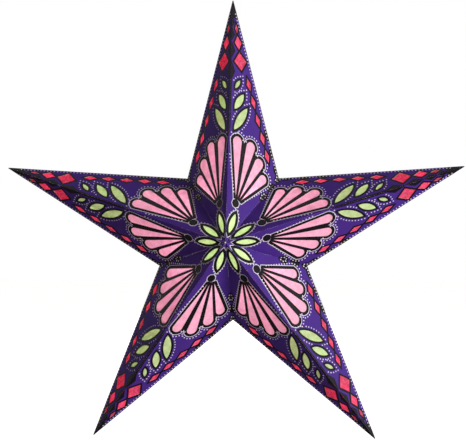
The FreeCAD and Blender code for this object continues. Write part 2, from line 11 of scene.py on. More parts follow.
# %% Load the frame
import json
import math

import bpy
import numpy as np
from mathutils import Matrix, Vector
from mathutils.geometry import delaunay_2d_cdt


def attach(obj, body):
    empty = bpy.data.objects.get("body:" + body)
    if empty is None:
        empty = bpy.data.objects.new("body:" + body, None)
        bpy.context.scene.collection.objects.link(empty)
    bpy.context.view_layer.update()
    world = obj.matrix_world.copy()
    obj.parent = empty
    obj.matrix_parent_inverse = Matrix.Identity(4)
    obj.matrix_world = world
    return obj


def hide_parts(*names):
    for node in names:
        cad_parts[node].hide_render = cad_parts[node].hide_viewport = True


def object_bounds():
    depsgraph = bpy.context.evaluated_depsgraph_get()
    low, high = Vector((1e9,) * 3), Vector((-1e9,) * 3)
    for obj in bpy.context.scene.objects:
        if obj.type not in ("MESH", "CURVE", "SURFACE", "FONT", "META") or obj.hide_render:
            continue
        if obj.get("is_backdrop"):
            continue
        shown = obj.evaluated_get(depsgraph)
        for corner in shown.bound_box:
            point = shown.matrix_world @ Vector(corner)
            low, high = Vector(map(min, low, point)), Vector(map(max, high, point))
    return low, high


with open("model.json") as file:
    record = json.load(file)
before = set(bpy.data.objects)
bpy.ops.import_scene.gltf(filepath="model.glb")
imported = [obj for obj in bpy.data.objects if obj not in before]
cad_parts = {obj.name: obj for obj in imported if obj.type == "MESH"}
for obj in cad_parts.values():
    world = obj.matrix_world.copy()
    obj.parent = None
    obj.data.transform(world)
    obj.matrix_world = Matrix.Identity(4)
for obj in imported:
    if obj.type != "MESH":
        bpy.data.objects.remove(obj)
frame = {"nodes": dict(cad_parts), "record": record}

cad_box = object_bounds()
MM = 0.001
print("nodes in the frame:", len(frame["nodes"]))

# %% [markdown]
# ## Sizes from the frame
#
# Three lengths fix the whole star: how far the tips reach, how far the inner corners reach,
# and how deep the star is. They could be typed in again, but the hinges already hold them:
# the first hinge starts at the back apex, the outer edge's hinge starts at the top tip, and
# the valley hinge runs from the back apex through an inner corner.

# %% Read the star's lengths from its hinges
joints = {joint["name"]: joint for joint in frame["record"]["behaviour"]["joints"]}


def hinge_line(name):
    """A hinge as its point and unit direction."""
    joint = joints[name]
    return np.array(joint["pos_m"], float), np.array(joint["axis"], float)


back_apex, _ = hinge_line("top_arm_back_left_fold")
top_tip, _ = hinge_line("top_arm_front_left_fold")
_, valley_way = hinge_line("upper_left_arm_back_right_fold")
inner_corner = back_apex - valley_way * back_apex[1] / valley_way[1]
HALF_DEPTH = abs(back_apex[1]) / MM
ARM_REACH = np.linalg.norm(top_tip) / MM
CORNER_REACH = np.linalg.norm(inner_corner) / MM
HALF_SECTOR = math.radians(36)
print(f"reach {ARM_REACH:.1f}, corners {CORNER_REACH:.1f}, half depth {HALF_DEPTH:.1f} mm")

# %% [markdown]
# ## The facet, and how a drawing gets onto it
#
# All twenty facets are the same triangle, or its mirror image. So the drawing is made once,
# flat, in millimetres: u runs along the ridge from the apex to the tip, and v runs across it.
# A facet's own three directions then carry every point into the star at once.

# %% Work out the facet
RIDGE = math.hypot(ARM_REACH, HALF_DEPTH)
VALLEY = math.hypot(CORNER_REACH, HALF_DEPTH)
EDGE = math.sqrt(
    ARM_REACH**2
    + CORNER_REACH**2
    - 2 * ARM_REACH * CORNER_REACH * math.cos(HALF_SECTOR)
)
APEX_ANGLE = math.acos((RIDGE**2 + VALLEY**2 - EDGE**2) / (2 * RIDGE * VALLEY))
TIP_ANGLE = math.acos((RIDGE**2 + EDGE**2 - VALLEY**2) / (2 * RIDGE * EDGE))
print(f"ridge {RIDGE:.1f}, valley {VALLEY:.1f}, outer edge {EDGE:.1f} mm")


def way(angle):
    """Unit direction in the drawing at an angle from the ridge."""
    return np.array([math.cos(angle), math.sin(angle)])


FACET = np.array([[0.0, 0.0], [RIDGE, 0.0], VALLEY * way(APEX_ANGLE)])
LEVEL = way(0.0)
OUTER_WAY = np.array([-math.cos(TIP_ANGLE), math.sin(TIP_ANGLE)])
# Each crease has a normal into the facet and an offset, as height = normal . point + offset.
CREASES = {
    "ridge": (np.array([0.0, 1.0]), 0.0),
    "valley": (np.array([math.sin(APEX_ANGLE), -math.cos(APEX_ANGLE)]), 0.0),
    "outer": (
        np.array([-math.sin(TIP_ANGLE), -math.cos(TIP_ANGLE)]),
        RIDGE * math.sin(TIP_ANGLE),
    ),
}


def height_in(points, crease):
    """Distance of points from a crease, positive inside the facet."""
    normal, offset = CREASES[crease]
    return points @ normal + offset


def inset_of(points):
    """How far points lie inside the facet: the least height above its three creases."""
    return np.min([height_in(points, crease) for crease in CREASES], axis=0)


print(f"height of the facet above its ridge: {height_in(FACET[2], 'ridge'):.1f} mm")

# %% Helpers that carry the facet into the star
ARMS = ("top", "upper_left", "lower_left", "lower_right", "upper_right")


def turn_of(arm):
    """Angle of an arm in the star's plane: the top one stands at 90 degrees."""
    return math.radians(90) + 2 * HALF_SECTOR * ARMS.index(arm)


def radial(angle):
    """Direction in the star's plane, with the front seen from -Y."""
    return np.array([math.cos(angle), 0.0, math.sin(angle)])


def facet_frame(arm, face, hand):
    """Origin and three directions (along, across, outward) of a facet, in millimetres.

    The origin is the facet's apex, along is the unit vector from apex to tip, across is
    what is left of the way to the inner corner once its share along the ridge is taken off,
    and outward is their cross product, turned away from the star's centre."""
    turn = turn_of(arm)
    apex = np.array([0.0, HALF_DEPTH * (-1 if face == "front" else 1), 0.0])
    tip = ARM_REACH * radial(turn)
    corner = CORNER_REACH * radial(turn + HALF_SECTOR * (1 if hand == "left" else -1))
    along = (tip - apex) / RIDGE
    across = (corner - apex) - along * np.dot(corner - apex, along)
    across /= np.linalg.norm(across)
    outward = np.cross(along, across)
    outward *= np.sign(outward @ apex)
    return apex, along, across, outward


def carry(points, height, place):
    """Points (u, v) at a height above the inner face, carried into the star, in metres:
    origin + u along + v across + height outward, for all points at once."""
    apex, along, across, outward = place
    heights = np.broadcast_to(height, (len(points),))
    flat = np.outer(points[:, 0], along) + np.outer(points[:, 1], across)
    return (apex + flat + np.outer(heights, outward)) * MM


first_corner = carry(FACET, 0.0, facet_frame("top", "front", "left"))[2]
print("first inner corner, in metres:", first_corner.round(4))

# %% [markdown]
# ## The cut windows
#
# A knife cuts the windows: a fan of round-headed petals at the foot of the arm, leaves up
# the arm, a row of lozenges along the outer edge and a few in the tip. They could be drawn
# freehand, but a rule keeps them clear of the creases on every facet: each length is what
# the margin beside it leaves.

# %% Shapes of the windows
def petal(foot, head, radius, steps=22):
    """Outline of a petal: a pointed foot and a round head.

    The head is a circle about its centre. The sides touch it where the angle between side
    and axis has the sine radius / length."""
    axis = head - foot
    heading = math.atan2(axis[1], axis[0])
    lean = math.asin(radius / np.linalg.norm(axis))
    swing = math.pi / 2 + lean
    turns = heading + np.linspace(-swing, swing, steps)
    arc = head + radius * np.stack([np.cos(turns), np.sin(turns)], axis=1)
    return np.vstack([foot, arc])


def leaf(first, last, width, fullness=0.75, steps=14):
    """Outline of a leaf: half width = width / 2 * sin(pi t) ^ fullness along its length."""
    share = np.linspace(0, 1, steps)
    run = last - first
    side = np.array([run[1], -run[0]]) / np.linalg.norm(run)
    half = width / 2 * np.sin(np.pi * share) ** fullness
    spine = first + np.outer(share, run)
    right = spine + half[:, None] * side
    left = spine - half[:, None] * side
    return np.vstack([right, left[-2:0:-1]])


def lozenge(first, last, width):
    """Outline of a lozenge: its two ends, and its middle pushed out to both sides."""
    run = last - first
    side = np.array([run[1], -run[0]]) / np.linalg.norm(run) * width / 2
    middle = (first + last) / 2
    return np.array([first, middle + side, last, middle - side])


def room_to_edge(point, margin, heading):
    """How far a line from a point runs before it is within a margin of the outer edge."""
    return (height_in(point, "outer") - margin) / math.sin(heading + TIP_ANGLE)


print(f"along the ridge from apex to edge: {room_to_edge(FACET[0], 0.0, 0.0):.1f} mm")

# %% Lay the fan of petals
FAN_CENTRE = np.array([50.0, 14.0])
PETALS, PETAL_REACH, PETAL_START, PETAL_BAR = 4, 92.0, 13.0, 4.0
FAN_LEAN = math.radians(5)
FAN_TURN = (APEX_ANGLE + FAN_LEAN) / (PETALS - 1)
FAN_EDGE_MARGIN, PETAL_RIDGE_MARGIN = 23.0, 7.0
fan = []
for index in range(PETALS):
    heading = FAN_TURN * index
    length = min(PETAL_REACH, room_to_edge(FAN_CENTRE, FAN_EDGE_MARGIN, heading))
    half = math.sin(FAN_TURN / 2)
    radius = (length + PETAL_BAR / 2) / (1 + half) * half - PETAL_BAR / 2
    radius = min(radius, FAN_CENTRE[1] - PETAL_RIDGE_MARGIN)
    foot = FAN_CENTRE + PETAL_START * way(heading)
    head = FAN_CENTRE + (length - radius) * way(heading)
    fan.append(petal(foot, head, radius))
print("petals:", len(fan))

# %% Lay the leaves and lozenges
LEAF_ANGLE, LEAF_WIDTH, LEAF_SLIMNESS = math.radians(32), 11.0, 0.36
LEAF_FEET, LEAF_RIDGE_MARGIN, LEAF_EDGE_MARGIN = (150.0, 178.0, 206.0), 8.0, 24.0
leaves = []
for along_ridge in LEAF_FEET:
    foot = np.array([along_ridge, LEAF_RIDGE_MARGIN])
    length = room_to_edge(foot, LEAF_EDGE_MARGIN, LEAF_ANGLE)
    width = min(LEAF_WIDTH, LEAF_SLIMNESS * length)
    leaves.append(leaf(foot, foot + length * way(LEAF_ANGLE), width))
CENTRE_START, CENTRE_LENGTH, CENTRE_WIDTH = 14.0, 28.0, 8.0
centre_way = way(APEX_ANGLE / 2)
centre_leaf = leaf(
    CENTRE_START * centre_way, (CENTRE_START + CENTRE_LENGTH) * centre_way, CENTRE_WIDTH
)


def from_edge(distance, inset):
    """A point by its distance from the tip along the outer edge, and its inset from it."""
    return FACET[1] + distance * OUTER_WAY + inset * CREASES["outer"][0]


BORDER_FIRST, BORDER_PITCH, BORDER_INSET = 22.0, 24.0, 11.0
LOZENGE_LENGTH, LOZENGE_WIDTH, BORDER_COUNT = 17.0, 7.0, 5
border = []
for index in range(BORDER_COUNT):
    start = EDGE - BORDER_FIRST - BORDER_PITCH * index
    ends = from_edge(start, BORDER_INSET), from_edge(start - LOZENGE_LENGTH, BORDER_INSET)
    border.append(lozenge(*ends, LOZENGE_WIDTH))
TIP_FIRST, TIP_LENGTHS, TIP_GAP, TIP_MARGIN = 96.0, (24.0, 18.0, 12.0), 4.0, 5.0
tip_way = np.array([-math.cos(TIP_ANGLE / 2), math.sin(TIP_ANGLE / 2)])
tips, start = [], TIP_FIRST
for length in TIP_LENGTHS:
    width = 2 * ((start - length / 2) * math.sin(TIP_ANGLE / 2) - TIP_MARGIN)
    tips.append(
        lozenge(FACET[1] + start * tip_way, FACET[1] + (start - length) * tip_way, width)
    )
    start -= length + TIP_GAP
windows = [*fan, *leaves, centre_leaf, *border, *tips]
print("windows in each facet:", len(windows))

# %% [markdown]
# ## The print
#
# The card is printed violet, with black contours round the windows, a black stem with
# diamonds up the ridge, thin white lines and rows of white dots. A procedural texture could
# draw dots and lines, but contours that follow each window are easier as geometry. So the
# print is a stack of flat shapes, each with an ink, and a later shape covers an earlier
# one. One call then cuts the facet into triangles along every outline.

# %% Helpers for outlines
VIOLET, BLACK, WHITE, WINDOW = range(4)
print_shapes = []


def ink(points, colour):
    """Lay one more shape on the print."""
    print_shapes.append((np.asarray(points, float), colour))


def area_of(points):
    """Signed area of an outline: half the sum of the cross products of its corners."""
    after = np.roll(points, -1, axis=0)
    return 0.5 * np.sum(points[:, 0] * after[:, 1] - points[:, 1] * after[:, 0])


def grown(points, distance, longest=2.2):
    """An outline pushed outwards by a distance.

    Each corner moves along the mean of its two edge normals, by distance over the cosine of
    half the turn, and at sharp corners by no more than longest times the distance."""
    if area_of(points) < 0:
        points = points[::-1]
    edges = np.roll(points, -1, axis=0) - points
    edges /= np.linalg.norm(edges, axis=1, keepdims=True)
    normals = np.stack([edges[:, 1], -edges[:, 0]], axis=1)
    mean = normals + np.roll(normals, 1, axis=0)
    mean /= np.linalg.norm(mean, axis=1, keepdims=True)
    stretch = 1 / np.maximum(np.sum(mean * normals, axis=1), 1 / longest)
    return points + mean * (distance * stretch)[:, None]


def spaced(outline, pitch):
    """Points at an even pitch round an outline, by the length walked from its start."""
    path = np.vstack([outline, outline[:1]])
    steps = np.linalg.norm(np.diff(path, axis=0), axis=1)
    walked = np.concatenate([[0], np.cumsum(steps)])
    count = max(2, int(round(walked[-1] / pitch)) + 1)
    stops = np.linspace(0, walked[-1], count)[:-1]
    return np.stack([np.interp(stops, walked, path[:, i]) for i in range(2)], axis=1)


def distance_to(outline, points):
    """Distance from each point to an outline: the least over its edges, each measured at
    the nearest point of the edge. Points inside the outline count as zero."""
    start = outline[None, :, :]
    run = np.roll(outline, -1, axis=0)[None, :, :] - start
    offset = points[:, None, :] - start
    share = np.sum(offset * run, axis=2) / np.maximum(np.sum(run * run, axis=2), 1e-12)
    nearest = offset - np.clip(share, 0, 1)[:, :, None] * run
    least = np.min(np.linalg.norm(nearest, axis=2), axis=1)
    above = offset[:, :, 1] < 0
    ends_above = offset[:, :, 1] - run[:, :, 1] < 0
    crosses = above != ends_above
    height = np.where(crosses, run[:, :, 1], 1.0)
    reach = run[:, :, 0] * offset[:, :, 1] / height
    inside = np.sum(crosses & (offset[:, :, 0] < reach), axis=1) % 2 == 1
    return np.where(inside, 0.0, least)


print(f"area of a facet: {area_of(FACET) / 100:.0f} square cm")

# %% Helpers for dots
DOT_SIDES, DOT_GAP, WINDOW_CLEARANCE = 8, 0.5, 1.6
dot_turns = np.linspace(0, 2 * np.pi, DOT_SIDES, endpoint=False)
DOT = np.stack([np.cos(dot_turns), np.sin(dot_turns)], axis=1)
dot_places = []


def dots(points, radius, margin=0.8):
    """Print a white dot at each point that lies clear of the windows, of the creases and of
    the dots before it."""
    clear = inset_of(points) > margin + radius
    for window in windows:
        clear &= distance_to(window, points) > radius + WINDOW_CLEARANCE
    for place in points[clear]:
        apart = all(
            math.hypot(*(place - other)) > radius + other_radius + DOT_GAP
            for other, other_radius in dot_places
        )
        if apart:
            dot_places.append((place, radius))
            ink(place + radius * DOT, WHITE)


print("corners of a dot:", len(DOT))

# %% Helpers that keep a shape inside the facet
def cut_off(points, normal, offset):
    """The part of a convex outline where normal . point + offset is positive.

    Corners on the wrong side go, and each edge that crosses the line leaves a new corner
    where the height above it is zero."""
    height = points @ normal + offset
    after, height_after = np.roll(points, -1, axis=0), np.roll(height, -1)
    crosses = (height > 0) != (height_after > 0)
    share = height / np.where(crosses, height - height_after, 1.0)
    corners = points + share[:, None] * (after - points)
    both = np.stack([points, corners], axis=1).reshape(-1, 2)
    return both[np.stack([height > 0, crosses], axis=1).reshape(-1)]


def within(points, margin):
    """A convex outline cut off at a margin from the three creases."""
    for normal, offset in CREASES.values():
        points = cut_off(points, normal, offset - margin)
    return points


print("corners of the facet 5 mm in from its creases:", len(within(FACET, 5.0)))

# %% Print the ground of the card
# Each facet is cut level where it has dropped by APEX_DROP from the apex, so the ten facets
# of a face leave one small opening. The drop per millimetre along and across follows from
# the drops along the ridge and along the valley.
TRIM, APEX_DROP, TIP_TRIM = 0.02, 0.38, 2.0
drop_along = HALF_DEPTH / RIDGE
drop_across = (HALF_DEPTH / VALLEY - drop_along * math.cos(APEX_ANGLE)) / math.sin(APEX_ANGLE)
card_outline = within(FACET, TRIM)
card_outline = cut_off(card_outline, np.array([drop_along, drop_across]), -APEX_DROP)
card_outline = cut_off(card_outline, -LEVEL, RIDGE - TIP_TRIM)
ink(card_outline, VIOLET)
print("corners of the card:", len(card_outline))

# %% Print black scallops near the inner corner
SCALLOP_STEPS = 12


def scallop(centre, along, inwards, half_width, depth):
    """Half an ellipse on a crease: centre + half_width cos t along it + depth sin t in."""
    turns = np.linspace(0, np.pi, SCALLOP_STEPS)[:, None]
    return centre + half_width * np.cos(turns) * along + depth * np.sin(turns) * inwards


# Each chain: crease, where it begins, its direction, centres, half width and depth in mm.
chains = (
    ("outer", FACET[1], OUTER_WAY, np.arange(EDGE - 58.0, EDGE - 4.0, 24.0), 9.0, 6.2),
    ("valley", FACET[0], way(APEX_ANGLE), np.arange(VALLEY - 40.0, VALLEY, 19.0), 8.0, 5.6),
)
# Three dots in each scallop: shares of its half width along and of its depth inwards.
DOT_SHARES = ((-0.5, 0.3), (0.0, 0.55), (0.5, 0.3))
scallop_dots = []
for crease, first, along, stops, half_width, depth in chains:
    inwards = CREASES[crease][0]
    for stop in stops:
        centre = first + stop * along
        shape = scallop(centre, along, inwards, half_width, depth)
        ink(within(shape, TRIM), BLACK)
        for shift, share in DOT_SHARES:
            scallop_dots.append(centre + half_width * shift * along + depth * share * inwards)
print("scallops and their dots:", len(print_shapes) - 1, len(scallop_dots))

# %% Print the stem, the diamonds and the cap on the ridge
# The stem begins with a slant and ends at the first diamond. The cap covers the tip.
STEM_START, STEM_SLANT, STEM_WIDTH, CAP = 140.0, 12.0, 2.0, 26.0
# Each diamond: distance of its middle from the tip, half length and half width in mm.
DIAMONDS = ((98.0, 16.0, 7.0), (70.0, 13.0, 6.4), (48.0, 10.0, 5.2), (31.0, 9.0, 4.2))
stem_end = RIDGE - DIAMONDS[0][0]
stem = [
    (STEM_START, 0),
    (stem_end, 0),
    (stem_end, STEM_WIDTH),
    (STEM_START + STEM_SLANT, STEM_WIDTH),
]
ink(within(np.array(stem), TRIM), BLACK)
for from_tip, half_length, half_width in DIAMONDS:
    middle = np.array([RIDGE - from_tip, 0.0])
    spread = [(-half_length, 0), (half_length, 0), (0, half_width)]
    ink(within(middle + np.array(spread), TRIM), BLACK)
ink(cut_off(card_outline, LEVEL, CAP - RIDGE), BLACK)
print("shapes in the print so far:", len(print_shapes))

# %% Print the contours of the windows
# A black contour goes round every window. The fan, the webs between its petals, the centre
# leaf and a knob at the fan's foot have a wider one, with a fine white line outside it.
CONTOUR, WIDE_CONTOUR, FINE_LINE, MITRE, EDGE_MARGIN = 2.8, 4.0, 0.9, 1.5, 0.6
KNOB_SHIFT, KNOB_RADIUS = 3.5, 1.5
webs = [
    np.array([near[0], near[1], far[-1], far[0]]) for near, far in zip(fan[:-1], fan[1:])
]
knob = FAN_CENTRE + KNOB_SHIFT * LEVEL + KNOB_RADIUS * DOT
for width, colour in ((WIDE_CONTOUR + FINE_LINE, WHITE), (WIDE_CONTOUR, BLACK)):
    for shape in (*fan, *webs, centre_leaf, knob):
        ink(within(grown(shape, width, MITRE), EDGE_MARGIN), colour)
for shape in (*leaves, *border, *tips):
    ink(within(grown(shape, CONTOUR), EDGE_MARGIN), BLACK)
for shape in windows:
    ink(shape, WINDOW)
print("contoured windows:", len(windows))

# %% Print the white dots
DOT_PITCH, DOT_LINE, FAN_RING = 4.4, 2.4, 7.6
SMALL_DOT, FAN_DOT, SCALLOP_DOT = 0.95, 1.0, 1.05
FOOT_CLEARANCE, STEM_CLEARANCE, SCALLOP_CLEARANCE = 18.0, 3.4, 0.3
for shape in fan:
    ring = spaced(grown(shape, FAN_RING), DOT_PITCH)
    dots(ring[np.linalg.norm(ring - FAN_CENTRE, axis=1) > FOOT_CLEARANCE], FAN_DOT)
for shape in (centre_leaf, *leaves):
    dots(spaced(grown(shape, CONTOUR + DOT_LINE), DOT_PITCH), SMALL_DOT, STEM_CLEARANCE)
edge_stops = np.arange(20.0, EDGE - 8.0, DOT_PITCH)
dots(np.array([from_edge(stop, DOT_LINE) for stop in edge_stops]), SMALL_DOT)
dots(np.array(scallop_dots), SCALLOP_DOT, SCALLOP_CLEARANCE)
print("dots:", len(dot_places))

# %% [markdown]
# ## From drawing to card
#
# A constrained Delaunay triangulation takes all those outlines together and returns a flat
# mesh in which every outline is a chain of edges. It also says which shapes each triangle
# lies in, and the last of them gives its ink. The triangles in a window are left out, so the
# windows are real holes. The same flat mesh serves all twenty facets.

# %% Cut the drawing into triangles
# Output type 1 keeps the triangles inside a shape, and closer points than this are merged.
INSIDE_ONLY, MERGE_DISTANCE = 1, 1e-4


def triangulate(shapes, loose=()):
    """Flat mesh of overlapping outlines: points, triangles, and each one's last shape.

    Loose points inside the outlines become corners too. The call returns polygons, and each
    is cut into a fan of triangles about its first corner."""
    corners = [Vector(p) for p in loose]
    faces = []
    for shape in shapes:
        if area_of(shape) < 0:
            shape = shape[::-1]
        faces.append(list(range(len(corners), len(corners) + len(shape))))
        corners += [Vector(p) for p in shape]
    verts, _, found, _, _, origins = delaunay_2d_cdt(
        corners, [], faces, INSIDE_ONLY, MERGE_DISTANCE
    )
    pieces = [(f[0], f[i], f[i + 1]) for f in found for i in range(1, len(f) - 1)]
    last = [max(o) for f, o in zip(found, origins) for _ in range(1, len(f) - 1)]
    return np.array(verts, float), np.array(pieces), np.array(last)


def drawing(shapes):
    """Points, triangles and inks of the printed card, with the windows taken out."""
    points, triangles, last = triangulate([outline for outline, _ in shapes])
    colours = np.array([colour for _, colour in shapes])[last]
    kept = colours != WINDOW
    return points, triangles[kept], colours[kept]


HOLE_RADIUS, HOLE_SIDES = 4.65, 32
hole_turns = np.linspace(0, 2 * np.pi, HOLE_SIDES, endpoint=False)
cable_hole = FAN_CENTRE + HOLE_RADIUS * np.stack([np.cos(hole_turns), np.sin(hole_turns)], 1)
plain_drawing = drawing(print_shapes)
holed_drawing = drawing([*print_shapes, (cable_hole, WINDOW)])
print("points and triangles of one facet:", len(plain_drawing[0]), len(plain_drawing[1]))

# %% [markdown]
# ## From a flat mesh to a sheet
#
# A sheet of card or tissue has two faces and a cut rim. A Solidify modifier could give a
# flat mesh its thickness, but the card thins at its creases by a rule of its own. So both
# faces are worked out here, and walls close every open edge, round the windows too.

# %% Build a mesh from arrays
def tidy_mesh(name, points, triangles, slots, uv, materials):
    """A mesh from points, triangles, a material number for each, and a UV for each point."""
    used, triangles = np.unique(triangles, return_inverse=True)
    triangles = triangles.reshape(-1, 3)
    points, uv = points[used], uv[used]
    mesh = bpy.data.meshes.new(name)
    mesh.from_pydata(points.tolist(), [], triangles.tolist())
    for material in materials:
        mesh.materials.append(material)
    mesh.polygons.foreach_set("material_index", slots.astype(np.int32))
    layer = mesh.uv_layers.new(name="facet")
    corner_points = np.zeros(len(mesh.loops), np.int32)
    mesh.loops.foreach_get("vertex_index", corner_points)
    layer.data.foreach_set("uv", uv[corner_points].astype(np.float32).ravel())
    mesh.update()
    thing = bpy.data.objects.new(name, mesh)
    bpy.context.scene.collection.objects.link(thing)
    return thing


# %% Close a sheet between two faces
def open_edges(triangles):
    """The directed edges that only one triangle has."""
    edges = np.concatenate([triangles[:, [0, 1]], triangles[:, [1, 2]], triangles[:, [2, 0]]])
    size = triangles.max() + 1
    forward = edges[:, 0] * size + edges[:, 1]
    backward = edges[:, 1] * size + edges[:, 0]
    return edges[~np.isin(forward, backward)]


def slab(flat, triangles, top, bottom, place, faces_out):
    """A closed sheet: the flat mesh at height top, again at height bottom turned over, and
    two triangles for each open edge between them."""
    if not faces_out:
        triangles = triangles[:, ::-1]
    count = len(flat)
    points = np.vstack([carry(flat, top, place), carry(flat, bottom, place)])
    rim = open_edges(triangles)
    a, b = rim[:, 0], rim[:, 1]
    walls = np.concatenate(
        [np.stack([b, a, a + count], 1), np.stack([b, a + count, b + count], 1)]
    )
    everything = np.concatenate([triangles, triangles[:, ::-1] + count, walls])
    return points, everything, len(walls)


def keeps_hand(place):
    """Whether a counterclockwise drawing still faces outwards on this facet."""
    _, along, across, outward = place
    return np.dot(np.cross(along, across), outward) > 0


print("open edges of one facet:", len(open_edges(plain_drawing[1])))

# %% [markdown]
# ## Finishes
#
# Each finish is a small tree of nodes: textures vary a colour, a bump gives the grain, and a
# shader puts both on the surface. It could be built by hand in the shader editor, but in
# code every value can be read and is the same each time. Each colour is a hex value that one
# function turns to linear, and each scale comes from a real size. Patterns are in metres,
# so a scale of 2500 draws grains 0.4 mm wide.

# %% Helpers for materials
def linear(hexadecimal):
    """An sRGB hex colour as linear: c / 12.92 below 0.04045, else ((c+0.055)/1.055)^2.4."""
    code = hexadecimal.lstrip("#")
    c = np.array([int(code[i : i + 2], 16) / 255 for i in (0, 2, 4)])
    light = np.where(c <= 0.04045, c / 12.92, ((c + 0.055) / 1.055) ** 2.4)
    return (*light.tolist(), 1.0)


def add(tree, kind, sockets=(), **settings):
    """Add a node. Each of its sockets takes a link or a value, and settings are its own
    properties."""
    made = tree.nodes.new(kind)
    for name, value in settings.items():
        setattr(made, name, value)
    for socket, source in dict(sockets).items():
        if isinstance(source, bpy.types.NodeSocket):
            tree.links.new(source, made.inputs[socket])
        else:
            made.inputs[socket].default_value = source
    return made


def blank_material(name):
    """A material with an empty node tree but for its output: material, tree, output."""
    material = bpy.data.materials.new(name)
    material.use_nodes = True
    tree = material.node_tree
    tree.nodes.clear()
    return material, tree, add(tree, "ShaderNodeOutputMaterial")


print(f"mid grey in linear light: {linear('#808080')[0]:.3f}")

# %% [markdown]
# ## Printed card
#
# The card is about 0.3 mm thick and offset printed, so its surface is satin, with a faint
# fibre and a pale crack where the print breaks on a crease. The wear could be painted by
# hand, but a rule puts it where a fold is: the distance to the nearest crease. It reads the
# facet's own coordinates, so it stays in its place when a panel folds.

# %% Printed card
# The fibre is 0.4 mm wide, coarser than in real card, so that it shows. Its height of 0.2 mm
# is scaled down by the bump's Strength.
FIBRE_SCALE, FIBRE_HEIGHT = 2500.0, 0.0002
# A Mix node set to RGBA takes its colours at sockets 6 and 7 and gives its result at 2.
MIX_FIRST, MIX_SECOND, MIX_RESULT = 6, 7, 2


def crease_distance(tree, uv):
    """Distance in millimetres to the nearest crease: the least of the three heights, each
    a dot product with the crease's normal plus its offset. The UV is in metres."""
    least = None
    for normal, offset in CREASES.values():
        direction = (*(normal / MM).tolist(), 0.0)
        dot = add(tree, "ShaderNodeVectorMath", {0: uv, 1: direction}, operation="DOT_PRODUCT")
        height = add(
            tree, "ShaderNodeMath", {0: dot.outputs["Value"], 1: offset}, operation="ADD"
        )
        if least is None:
            least = height
        else:
            both = {0: least.outputs[0], 1: height.outputs[0]}
            least = add(tree, "ShaderNodeMath", both, operation="MINIMUM")
    return least.outputs[0]


def printed_card(name, ink_hex, worn_hex, roughness, wear=0.16):
    """Offset print on smooth card. The print is satin and even, with a fine grain that
    shows in the gloss and clouds 22 mm across in its tone. Within 0.6 mm of a crease it
    cracks into flakes 3 mm long."""
    material, tree, output = blank_material(name)
    uv = add(tree, "ShaderNodeUVMap", uv_map="facet").outputs["UV"]
    fibre = {"Vector": uv, "Scale": FIBRE_SCALE, "Detail": 3.0}
    grain = add(tree, "ShaderNodeTexNoise", fibre)
    cloud = add(tree, "ShaderNodeTexNoise", {"Vector": uv, "Scale": 45.0, "Detail": 4.0})
    tones = {"Value": cloud.outputs["Fac"], "To Min": 0.86, "To Max": 1.14}
    tone = add(tree, "ShaderNodeMapRange", tones)
    inked = {"Value": tone.outputs[0], "Color": linear(ink_hex)}
    shade = add(tree, "ShaderNodeHueSaturation", inked)
    folded = {
        "Value": crease_distance(tree, uv),
        "From Min": 0.15,
        "From Max": 0.6,
        "To Min": 1.0,
        "To Max": 0.0,
    }
    near = add(tree, "ShaderNodeMapRange", folded)
    crack = add(tree, "ShaderNodeTexNoise", {"Vector": uv, "Scale": 320.0, "Detail": 2.0})
    cracks = {"Value": crack.outputs["Fac"], "From Min": 0.42, "From Max": 0.62}
    broken = add(tree, "ShaderNodeMapRange", cracks)
    both = {0: near.outputs[0], 1: broken.outputs[0]}
    worn = add(tree, "ShaderNodeMath", both, operation="MULTIPLY")
    soft = add(tree, "ShaderNodeMath", {0: worn.outputs[0], 1: wear}, operation="MULTIPLY")
    layers = {
        "Factor": soft.outputs[0],
        MIX_FIRST: shade.outputs[0],
        MIX_SECOND: linear(worn_hex),
    }
    mixed = add(tree, "ShaderNodeMix", layers, data_type="RGBA")
    relief = {"Height": grain.outputs["Fac"], "Strength": 0.12, "Distance": FIBRE_HEIGHT}
    bump = add(tree, "ShaderNodeBump", relief)
    satin = {
        "Base Color": mixed.outputs[MIX_RESULT],
        "Normal": bump.outputs[0],
        "Roughness": roughness,
        "IOR": 1.5,
        "Specular IOR Level": 0.2,
    }
    shader = add(tree, "ShaderNodeBsdfPrincipled", satin)
    tree.links.new(shader.outputs[0], output.inputs["Surface"])
    return material


violet_card = printed_card("offset_printed_violet_card", "#4e2b92", "#8d78c4", 0.6)
black_card = printed_card("offset_printed_black_card", "#0c040e", "#4a3a55", 0.6)
white_card = printed_card("unprinted_white_of_the_card", "#f4eef6", "#ffffff", 0.55)
inner_card = printed_card("bare_inner_side_of_the_card", "#ebe8e4", "#f2efea", 0.7)
print("card finishes: 4")

# %% [markdown]
# ## Tissue paper
#
# The tissue is thin handmade paper. Long fibres show in it as lighter threads, and the lamp
# behind shines through it. Transmission could let light through, but it bends light as glass
# does. A Translucent BSDF spreads it as paper does, and a Principled BSDF mixed with it
# gives the front its matt surface.

